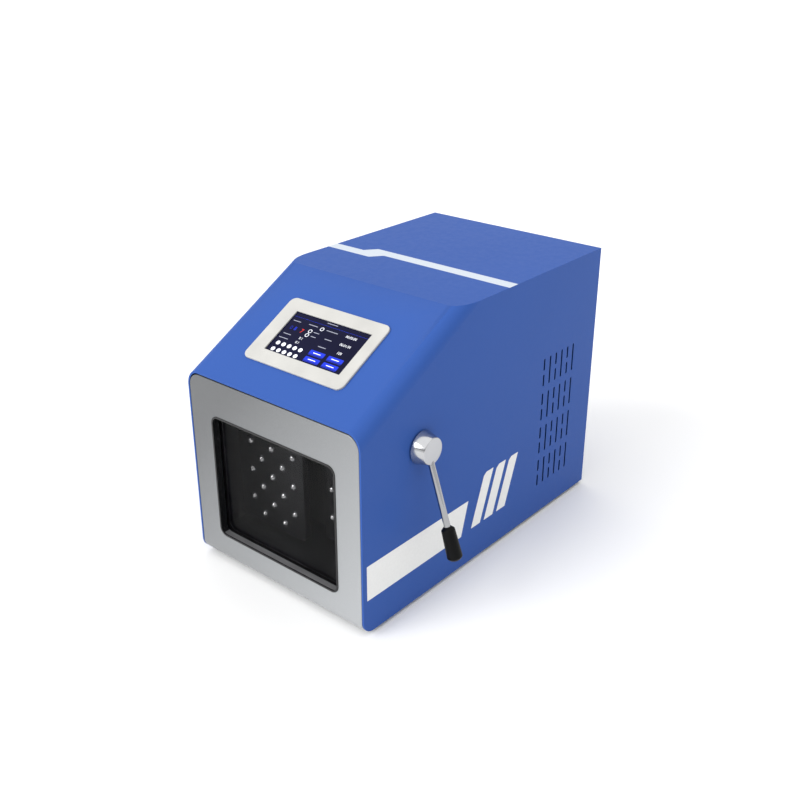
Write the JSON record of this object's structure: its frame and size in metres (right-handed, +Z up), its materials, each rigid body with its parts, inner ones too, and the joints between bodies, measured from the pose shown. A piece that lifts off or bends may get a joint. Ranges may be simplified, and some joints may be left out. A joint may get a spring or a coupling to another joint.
{
  "type": "paddle blender homogenizer",
  "caption": "Bench paddle blender: studded paddles pound a sample bag against a windowed drop-down door held by a side latch lever, under a sloping touch display.",
  "frame": {"origin": "on the bench, under the middle of the housing", "axes": "+X to the operator's right, towards the lever; +Y to the back of the machine; +Z up"},
  "size_m": [0.304, 0.4266, 0.316],
  "materials": {
    "blue_paint": "satin blue powder coat",
    "silver_paint": "satin silver-grey coat",
    "dark_paint": "satin dark grey paint",
    "zinc_steel": "zinc plated sheet and screws",
    "stainless": "brushed stainless steel",
    "chrome": "polished",
    "aluminium": "machined",
    "bronze": "sintered bronze",
    "bearing_steel": "ground steel",
    "cast_iron": "painted casting",
    "black_rubber": "matte",
    "grey_rubber": "soft seal",
    "black_plastic": "moulded",
    "gloss_black": "smooth moulded",
    "white_plastic": "smooth off-white moulding",
    "screen": "dark touch screen",
    "tinted_pane": "smoke tinted",
    "board_green": "circuit board"
  },
  "bodies": {
    "housing": {"housing_shell": "blue_paint", "base_pan": "zinc_steel", "rear_panel": "blue_paint", "rear_screws": "zinc_steel", "rubber_feet": "black_rubber", "foot_screws": "zinc_steel", "display_bezel": "white_plastic", "display_panel": "screen", "display_board": "board_green", "hinge_brackets": "zinc_steel", "chamber_liner": "stainless", "chamber_gasket": "grey_rubber", "shaft_wipers": "black_rubber", "bearing_plate": "aluminium", "guide_bushes": "bronze", "crank_stands": "cast_iron", "crank_bearings": "bearing_steel", "drive_belt": "black_rubber", "motor_bracket": "zinc_steel", "motor_body": "dark_paint", "lever_bush": "bronze", "latch_blocks": "aluminium", "fan_frame": "black_plastic", "mains_inlet": "black_plastic", "switch_bezel": "black_plastic", "power_supply": "aluminium", "control_board": "board_green"},
    "door": {"door_panel": "silver_paint", "window_frame": "gloss_black", "window_pane": "tinted_pane", "door_inner_plate": "stainless", "door_screws": "zinc_steel", "striker_horns": "zinc_steel", "striker_pins": "bearing_steel", "hinge_pins": "bearing_steel"},
    "lever": {"lever_hub": "chrome", "lever_rod": "chrome", "lever_grip": "black_plastic", "latch_shaft": "bearing_steel", "latch_hooks": "zinc_steel"},
    "paddle_left": {"paddle_plate_left": "stainless", "paddle_studs_left": "chrome", "guide_shafts_left": "bearing_steel", "crosshead_left": "aluminium"},
    "paddle_right": {"paddle_plate_right": "stainless", "paddle_studs_right": "chrome", "guide_shafts_right": "bearing_steel", "crosshead_right": "aluminium"},
    "crank": {"crank_shaft": "bearing_steel", "eccentric_cams": "bearing_steel", "crank_pulley": "aluminium"},
    "rod_left": {"connecting_rod_left": "aluminium", "wrist_pin_left": "bearing_steel"},
    "rod_right": {"connecting_rod_right": "aluminium", "wrist_pin_right": "bearing_steel"},
    "motor_rotor": {"motor_shaft": "bearing_steel", "motor_pulley": "aluminium"},
    "fan": {"fan_rotor": "black_plastic"},
    "rocker": {"power_rocker": "gloss_black"}
  },
  "joints": [
    {"name": "door_hinge", "type": "hinge", "parent": "housing", "child": "door", "pos_m": [0, -0.197, 0.019], "axis": [1, 0, 0], "range_deg": [0, 90]},
    {"name": "lever_turn", "type": "hinge", "parent": "housing", "child": "lever", "pos_m": [0.125, -0.1225, 0.1865], "axis": [-1, 0, 0], "range_deg": [0, 90]},
    {"name": "paddle_left_slide", "type": "slide", "parent": "housing", "child": "paddle_left", "axis": [0, 1, 0], "range_m": [0, 0.0226]},
    {"name": "paddle_right_slide", "type": "slide", "parent": "housing", "child": "paddle_right", "axis": [0, 1, 0], "range_m": [-0.0226, 0]},
    {"name": "crank_spin", "type": "hinge", "parent": "housing", "child": "crank", "pos_m": [0, 0.0355, 0.10555], "axis": [1, 0, 0], "continuous": true},
    {"name": "rod_left_turn", "type": "hinge", "parent": "crank", "child": "rod_left", "pos_m": [-0.055, 0.0242, 0.10555], "axis": [1, 0, 0], "continuous": true},
    {"name": "rod_right_turn", "type": "hinge", "parent": "crank", "child": "rod_right", "pos_m": [0.055, 0.0468, 0.10555], "axis": [1, 0, 0], "continuous": true},
    {"name": "motor_spin", "type": "hinge", "parent": "housing", "child": "motor_rotor", "pos_m": [-0.101, 0.12, 0.069], "axis": [1, 0, 0], "continuous": true},
    {"name": "fan_spin", "type": "hinge", "parent": "housing", "child": "fan", "pos_m": [-0.05, 0.1975, 0.204], "axis": [0, 1, 0], "continuous": true},
    {"name": "rocker_press", "type": "hinge", "parent": "housing", "child": "rocker", "pos_m": [0.03, 0.206, 0.05], "axis": [-1, 0, 0], "range_deg": [0, 20]}
  ],
  "couplings": [
    {"joint": "paddle_right_slide", "follows": "paddle_left_slide", "ratio": -1},
    {"joint": "rod_left_turn", "follows": "crank_spin", "ratio": -1},
    {"joint": "rod_right_turn", "follows": "crank_spin", "ratio": -1},
    {"joint": "motor_spin", "follows": "crank_spin", "ratio": 2.5}
  ]
}
